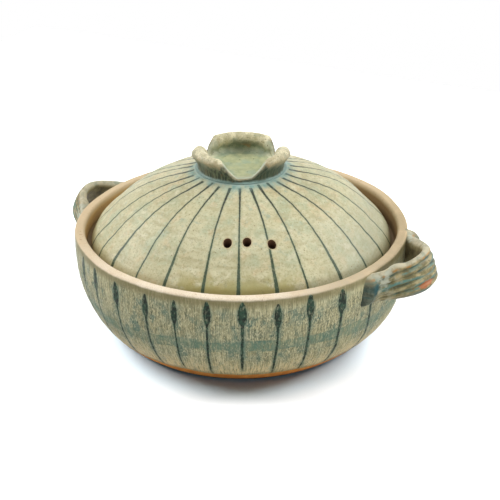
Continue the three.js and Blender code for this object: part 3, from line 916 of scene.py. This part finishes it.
    color = g.coats(
        g.tones(clouds, "9c9670", "b3ac85", 0.36),
        ("8f977e", patches, 0.45, 0.66, 0.7),
        # Paler low on the wall, as creamier glaze and painted light from the floor.
        ("efd7a0", below, 50, 74, 0.9),
        # Fine upright lines from turning and brushing, all over.
        ("656a50", hair, 0.48, 0.64, 0.7),
        ("d0caa2", hair, 0.5, 0.36, 0.55),
        ("577567", smudge),
        ("465040", marks * 0.9),
        ("d3cca4", flecks, 0.53, 0.65, 0.7),
        ("5b7a66", band * 0.85),
        ("4a6a5e", hem),
        ("647b6c", halo),
        (ink, inked * 0.97),
        ("7f7650", gather_and_shade * (1 - stroke)),
        (clay, lip),
        (within, inner),
        ("8f8050", wavy, glaze_edge - 5, glaze_edge - 0.6, 0.6),
        (bare, foot),
    )
    uncovered = g.math("MAXIMUM", foot, lip - inner)
    sheen = g.smooth(g.noise(spot, 8), 0.3, 0.7, 0.36, 0.5)
    rough = (1 - uncovered) * sheen + uncovered * 0.78
    height = g.noise(spot, 6) * 0.35 + g.noise(spot, 0.7, 2) * 0.05
    height += (marks + g.smooth(hair, 0.4, 0.7, 0, 0.6)) * -0.05
    height += stroke * 0.06 + turned * under * 0.15
    return g.glaze(color, rough, height)


def lid_material():
    g = Graph("lid_glaze")
    phase, down = g.paint()
    spot = g.place()
    radius = g.reach(spot)
    around = g.wrapped(spot, down, 80, 1)
    dapple = g.noise(spot, 3.2, 3, 0.6, shift=(21, 60, 44))
    blue = g.smooth(g.noise(spot, 7, 4, 0.6, shift=(90, 4, 33)), 0.56, 0.7, 0, 0.6)
    # Painted shade on the right side of the cone, low down.
    shade = g.smooth(g.facing(spot, 20), 0.5, 0.95) * g.smooth(down, 40, 85)

    # Olive glaze pooled in patches near the front edge, some with a darker line round them.
    front = g.smooth(g.facing(spot, FRONT - 2), 0.86, 0.97) * g.smooth(down, 76, 98)
    wet = g.noise(spot, 12, 4, 0.6, shift=(5, 44, 12)) + front * 0.2
    pool = g.smooth(wet, 0.5, 0.64) * front
    ringed = g.smooth(abs(wet - 0.56), 0.014, 0.003) * g.smooth(dapple, 0.42, 0.58) * front
    # Radial stripes.
    number = g.math("ROUND", phase)
    pitch = radius * (2 * math.pi / LID_STROKE_COUNT)
    side = abs((phase - number) * pitch + g.sway(around, 26, 0.9, 1) + g.sway(spot, 1.4, 0.7, 2))
    size = g.chance(number, 2.6, 0.85, 1.15)
    flare = g.smooth(down, 55, 96, 1, g.chance(number, 8.2, 0.85, 1.7, 0.3))
    inside = side - g.curve(down, LID_STROKE_SHAPE) * size * flare
    begin = g.chance(number, 5.9, 1, 4)
    shown = g.smooth(down - begin, -0.5, 0.8) * g.smooth(down, 112, 108)
    halo = g.smooth(inside, 1.6, 0, 0, 0.3) * shown
    stroke = g.smooth(inside, 0.28, -0.3) * shown
    inked = stroke * g.smooth(g.noise(around, 2.2), 0.54, 0.72, 1, 0.75)
    ink = g.coats(
        g.mix(g.smooth(down, 10, 70), "121c10", "3d503b"),
        ("24341f", g.noise(around, 6), 0.35, 0.7, 0.8),
        ("243221", down, 98, 106, 0.7),
    )
    # Blue glaze pooled in patches round the knob, thinner on the stripes.
    ragged = g.sway(around, 9, 15)
    ring = g.smooth(down + ragged, 11, 2)
    patch = g.smooth(g.noise(around, 17, 2, shift=(4, 8, 15)), 0.4, 0.56, 0.4, 1)
    pooled = g.tones(g.noise(spot, 6), "6d9690", "a2bcb0")
    # Bare clay at the steam holes and in them, where it is darkened as painted shade.
    holes = None
    for place in steam_hole_places():
        gap = g.vector("DISTANCE", g.flat(spot), (*place, 0), "Value")
        holes = g.math("MINIMUM", holes, gap) if holes else gap
    edge = STEAM_HOLE_DIAMETER / 2
    rim = g.smooth(holes + g.sway(spot, 3, 2, 2), edge + 1.4, edge + 0.2, 0, 0.75) * g.smooth(down, -9, -8)
    bore = g.smooth(down, HOLE_MARK + 8, HOLE_MARK + 4)

    color = g.coats(
        g.tones(g.noise(spot, 36), "c2bd96", "cec8a3"),
        ("b2b896", g.noise(spot, 18, 4, shift=(40, 9, 2)), 0.46, 0.66, 0.8),
        ("cfbb92", g.noise(spot, 12, shift=(3, 70, 20)), 0.52, 0.7, 0.6),
        ("dcd7ba", g.noise(spot, 9, shift=(13, 33, 71)), 0.56, 0.72, 0.6),
        ("93a694", blue * g.smooth(down, 96, 30, 0.35, 1)),
        ("ada47c", g.noise(g.scaled(spot, (1, 1, 5)), 16), 0.5, 0.68, 0.5),
        ("a69f78", dapple, 0.52, 0.7, 0.45),
        ("dbd6b6", dapple, 0.48, 0.32, 0.4),
        ("9a9b81", shade * 0.6),
        ("968d66", g.noise(spot, 1.3, 2), 0.54, 0.68, 0.5),
        ("a29858", pool * 0.85),
        ("7a7144", ringed * 0.8),
        ("a59b6c", down + g.sway(spot, 13, 12), 94, 108, 0.6),
        ("929b7e", halo),
        (ink, inked * 0.97),
        (pooled, ring * patch * g.smooth(stroke, 0, 1, 0.9, 0.35)),
        ("a9bfb6", down + ragged * 0.1, 2.2, 0.8, 0.7),
        # Specks of iron.
        ("6b5238", g.noise(spot, 1.5, 1, shift=(12, 12, 60)), 0.735, 0.77, 0.8),
        ("c0ad84", rim),
        ("4a3120", bore),
    )
    rough = g.smooth(g.noise(spot, 10), 0.3, 0.7, 0.36, 0.5) + bore * 0.4
    height = g.noise(spot, 9) * 0.45 + g.noise(spot, 0.8, 2) * 0.04 + stroke * 0.05 + ring * 0.25
    return g.glaze(color, rough, height)


def knob_material():
    g = Graph("knob_glaze")
    way, rise, back = g.marks("way", "rise", "back")
    spot = g.place()
    mottle = g.noise(spot, 6, 4, 0.6)
    broad = g.noise(spot, 11, shift=(8, 30, 2))
    grain = g.noise(spot, 1.2, 2)
    ragged = (mottle - 0.5) * 0.6
    turned = way + ragged

    # The outer wall, with painted shade on its front right side.
    wall = g.coats(
        g.tones(g.noise(g.scaled(spot, (1, 1, 0.16)), 1.6), "384131", "646a50", 0.38),
        ("6f5a39", mottle, 0.5, 0.7, 0.6),
        ("28382a", g.facing(spot, -25), 0.5, 0.9, 0.6),
    )
    # The rolled rims, pale in their glaze and lighter still as painted highlight.
    rim = g.coats(
        g.tones(mottle, "bdb58f", "e4dcb9"),
        ("857f5b", grain, 0.52, 0.7, 0.6),
        ("a39369", broad, 0.52, 0.66, 0.5),
        ("9aa489", broad, 0.45, 0.34, 0.5),
    )
    cup = g.coats(g.tones(mottle, "a4ab83", "bbbe94"), ("9cb09a", broad, 0.46, 0.66, 0.6))
    # On the slopes to the notches the dark of the wall comes up to the cut faces.
    slope = g.smooth(rise, 0.9, 0.68)
    outer = turned - slope * 0.45
    # Brown where the glaze breaks over the lower side of the rolled rims.
    broken = g.between(outer, 0.75, 0.95, 1.05, 1.3) * g.smooth(mottle, 0.4, 0.6, 0.1, 0.5)
    # Inside the petals the glaze is pale and blue, but painted shade darkens it under the back rim, and in
    # the middle there is painted shade over brown glaze.
    side = g.between(turned, 1.85, 2.15, 2.7, 2.95)
    inner = g.coats(
        g.tones(mottle, "646e52", "858b6c", 0.38),
        ("9a7a50", broad, 0.56, 0.63, 0.7),
        ("4f533d", grain, 0.5, 0.7, 0.6),
    )
    # The painted shade in the middle narrows towards the cup's floor.
    middle = g.smooth(back - g.smooth(way, 2, 2.7, 0, 0.13), 0.8, 0.97)
    # Painted shade under the back rim.
    under = g.between(turned, 1.72, 1.92, 2.02, 2.25)
    under = under * g.smooth(back, 0.55, 0.8) * g.smooth(mottle, 0.38, 0.6, 0.1, 0.6)
    # Cut faces of the notches, where the glaze runs thin and pale.
    cut = slope * g.between(way, 1.3, 1.5, 2.25, 2.7)
    cut = cut * g.smooth(g.facing(spot, FRONT_NOTCH + LID_TURN), 0.2, 0.7, 0.45, 0.85)
    face = g.coats(g.tones(mottle, "a9b8a2", "c6cdb4"), ("b3c0a8", rise, 0.5, 0.1, 0.6))

    color = g.coats(
        wall,
        (rim, outer, 0.55, 1.3),
        ("8a7047", broken),
        (cup, turned, 2.3, 2.75),
        (g.tones(mottle, "8b9b85", "b0b899"), side * rise * 0.85),
        (inner, side * g.smooth(mottle, 0.3, 0.5, 0.5, 1) * middle),
        ("505640", under * rise),
        (face, cut),
        ("87a39a", way + ragged * 0.3, 0.2, 0.06, 0.8),
        ("4b4433", g.noise(spot, 1.6, 1, shift=(9, 2, 40)), 0.71, 0.75, 0.8),
    )
    rough = g.smooth(mottle, 0.3, 0.7, 0.36, 0.5)
    return g.glaze(color, rough, g.noise(spot, 5) * 0.3 + grain * 0.05)


def handle_material():
    g = Graph("handle_glaze")
    groove, across, face, signed = g.marks("groove", "across", "face", "along")
    spot = g.place()
    along = abs(signed)
    mottle = g.noise(spot, 6, 4, 0.65)
    dabs = g.noise(spot, 10, shift=(5, 21, 3))
    # Streaks that follow the strap.
    strap = g.node("CombineXYZ", {0: signed * 0.2, 1: across * 26, 2: face})
    blur = (mottle - 0.5) * 0.35
    bent = g.noise(strap, 1.7) + blur
    wide = g.noise(strap, 3.2, shift=(7, 40, 2)) + blur
    third = g.noise(strap, 2.4, shift=(50, 9, 2)) + (mottle - 0.5) * 0.3

    # Dark glaze in the grooves.
    deep = g.mix(g.smooth(dabs, 0.42, 0.6), "2f3f2c", "25504d")
    patchy = g.smooth(g.noise(spot, 9, 2, shift=(2, 6, 50)), 0.36, 0.58, 0.3, 1)
    # Clay shows along the ridges and most of all along the upper edge, which is also lighter as painted light
    # from above.
    ridge = g.smooth(groove, 0.2, 0.02) * g.smooth(mottle, 0.46, 0.64)
    top = g.smooth(across, 0.86, 0.96) * g.smooth(mottle, 0.3, 0.6, 0.45, 0.95)
    seam = g.smooth(abs(across - 0.88), 0.05, 0.01) * face
    seam = seam * g.smooth(g.noise(spot, 6, shift=(60, 8, 14)), 0.42, 0.56)
    # A rusty flash low on the loop.
    flash = abs((signed + 9) / 6) + (mottle - 0.5) * 3 + abs((across - 0.18) / 0.1)
    # Pale glaze with painted highlight on the way to the feet, which are dark and grey-green with teal pooled
    # at their bends.
    pale = g.between(along, 22, 31, 36, 42) * g.smooth(across, 0.3, 0.7, 0.4, 1)
    pale = pale * g.smooth(g.noise(spot, 5, shift=(44, 3, 9)), 0.42, 0.6, 0, 0.85)
    edge = along + (dabs - 0.5) * 14
    foot = g.coats(g.tones(mottle, "313f36", "57655a", 0.38), ("a59c7a", across, 0.6, 0.95, 0.7))
    bend = g.between(edge, 37, 40, 42, 46) * g.between(across, 0.25, 0.45, 0.65, 0.85)
    inner = g.coats(g.tones(mottle, "6a6046", "958a66"), ("9a6038", dabs, 0.6, 0.68, 0.8))

    color = g.coats(
        g.tones(mottle, "6f6745", "938a60"),
        ("aea27c", bent, 0.5, 0.66, 0.7),
        ("527f78", wide, 0.48, 0.61, 0.85),
        ("8c7a4f", third, 0.54, 0.66, 0.7),
        (deep, g.smooth(groove, 0.22, 0.8, 0, 0.72) * patchy),
        ("bfa77c", ridge * 0.5),
        ("c6bd9f", top),
        ("a9793f", seam * 0.75),
        ("b06a40", g.smooth(flash, 1.3, 0.7, 0, 0.85) * face),
        ("b9bca8", pale),
        (foot, edge, 39, 45, 0.85),
        ("1c474a", bend * 0.95),
        ("353f34", g.smooth(edge, 46, 49, 0, 0.8) * g.smooth(across, 0.95, 0.6, 0.3, 1)),
        (inner, g.smooth(face, 0.6, 0.2) * g.smooth(across, 0.95, 0.85)),
    )
    rough = g.smooth(mottle, 0.3, 0.7, 0.38, 0.54)
    return g.glaze(color, rough, g.noise(spot, 4) * 0.4 + g.noise(spot, 1.1, 2) * 0.06)


def floor_material():
    """White for the camera, with a cooler tint beside the pot, and darker for the light it throws back."""
    g = Graph("floor")
    seen = g.mix(g.smooth(g.reach(g.place()), *FLOOR_NEAR_FADE), FLOOR_NEAR, FLOOR_SEEN)
    color = g.mix(g.node("LightPath", {}, "Is Camera Ray"), FLOOR_BOUNCE, seen)
    return g.end(
        "Principled BSDF", Base_Color=color, Roughness=FLOOR_ROUGHNESS, Specular_IOR_Level=FLOOR_SHEEN
    )


def white_world():
    """White for the camera and in reflections, and faint as a light."""
    g = Graph("world", "worlds")
    seen = g.node("LightPath", {}, "Is Camera Ray")
    for ray in ("Is Glossy Ray", "Is Transmission Ray"):
        seen = g.math("MAXIMUM", seen, g.node("LightPath", {}, ray))
    level = g.node("MapRange", {"Value": seen, "To Min": WORLD_LIGHT, "To Max": 1})
    return g.end("Background", Color=(1, 1, 1, 1), Strength=level)


def add_piece(piece, node, body, material):
    piece.data.materials.clear()
    piece.data.materials.append(material)
    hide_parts(node)
    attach(piece, body)


def outward(azimuth, elevation):
    """The way from the pot to the camera or a lamp."""
    turn, rise = math.radians(azimuth), math.radians(elevation)
    level = math.cos(rise)
    return Vector((math.sin(turn) * level, -math.cos(turn) * level, math.sin(rise)))


def set_up(name, data, place, way):
    """A camera or a lamp at a place, turned against a way."""
    made = bpy.data.objects.new(name, data)
    made.location = place * MM
    made.rotation_mode = "QUATERNION"
    made.rotation_quaternion = (-way).to_track_quat("-Z", "Y")
    bpy.context.scene.collection.objects.link(made)
    return made


def add_camera():
    data = bpy.data.cameras.new("camera")
    data.sensor_fit = "HORIZONTAL"
    data.sensor_width = SENSOR
    data.lens = CAMERA_LENS
    way = outward(CAMERA_AZIMUTH, CAMERA_ELEVATION)
    bpy.context.scene.camera = set_up("camera", data, Vector(CAMERA_AIM) + way * CAMERA_DISTANCE, way)


def add_sky():
    """Soft light from straight above."""
    data = bpy.data.lights.new("sky", "SUN")
    data.energy = SKY_STRENGTH
    data.angle = math.radians(SKY_WIDTH)
    bpy.context.scene.collection.objects.link(bpy.data.objects.new("sky", data))


def add_lamp(name, azimuth, elevation, power):
    """A soft lamp that faces the pot."""
    data = bpy.data.lights.new(name, "AREA")
    data.shape = "DISK"
    data.size = LAMP_SIZE * MM
    data.energy = power
    way = outward(azimuth, elevation)
    return set_up(name, data, way * LAMP_DISTANCE, way)


def add_linked_lamps(name, lamps, floor, state, color=(1, 1, 1)):
    """Lamps that leave out the floor, or light it alone, and that don't show in reflections."""
    group = bpy.data.collections.new(name)
    group.objects.link(floor)
    group.collection_objects[0].light_linking.link_state = state
    for spec in lamps:
        lamp = add_lamp(name, *spec)
        lamp.data.color = color
        lamp.visible_glossy = False
        lamp.light_linking.receiver_collection = group


def add_stage():
    """A pale floor that keeps the shadow, a white world and soft lamps."""
    mesh = bpy.data.meshes.new("floor")
    side = FLOOR_SIDE * MM
    corners = [(x * side, y * side, 0) for x, y in ((-1, -1), (1, -1), (1, 1), (-1, 1))]
    mesh.from_pydata(corners, [], [(0, 1, 2, 3)])
    floor = bpy.data.objects.new("floor", mesh)
    bpy.context.scene.collection.objects.link(floor)
    mesh.materials.append(floor_material())
    bpy.context.scene.world = white_world()
    add_sky()
    for lamp in SIDE_LAMPS:
        add_lamp("side_lamp", *lamp)
    # The low fills light the walls alone, so that the shadow on the floor stays whole. The floor has lamps of
    # its own, so that its white takes no more light on the pot.
    add_linked_lamps("fill", FILLS, floor, "EXCLUDE")
    add_linked_lamps("floor_lamp", FLOOR_LAMPS, floor, "INCLUDE")
    add_linked_lamps("shade_lamp", SHADE_LAMPS, floor, "INCLUDE", SHADE_COLOR)


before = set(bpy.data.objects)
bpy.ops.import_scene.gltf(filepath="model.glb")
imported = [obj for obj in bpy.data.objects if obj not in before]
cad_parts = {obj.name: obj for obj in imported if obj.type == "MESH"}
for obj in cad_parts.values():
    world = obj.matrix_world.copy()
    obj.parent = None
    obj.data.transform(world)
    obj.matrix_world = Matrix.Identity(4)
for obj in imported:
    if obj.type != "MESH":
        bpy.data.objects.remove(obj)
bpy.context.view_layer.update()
add_camera()
bpy.context.scene.view_settings.view_transform = "Standard"
add_piece(make_bowl(), "bowl", "pot", bowl_material())
handle_look = handle_material()
for handle in HANDLES:
    add_piece(make_handle(handle), handle, "pot", handle_look)
add_piece(make_lid(), "lid", "lid", lid_material())
add_piece(make_knob(), "knob", "lid", knob_material())
add_stage()
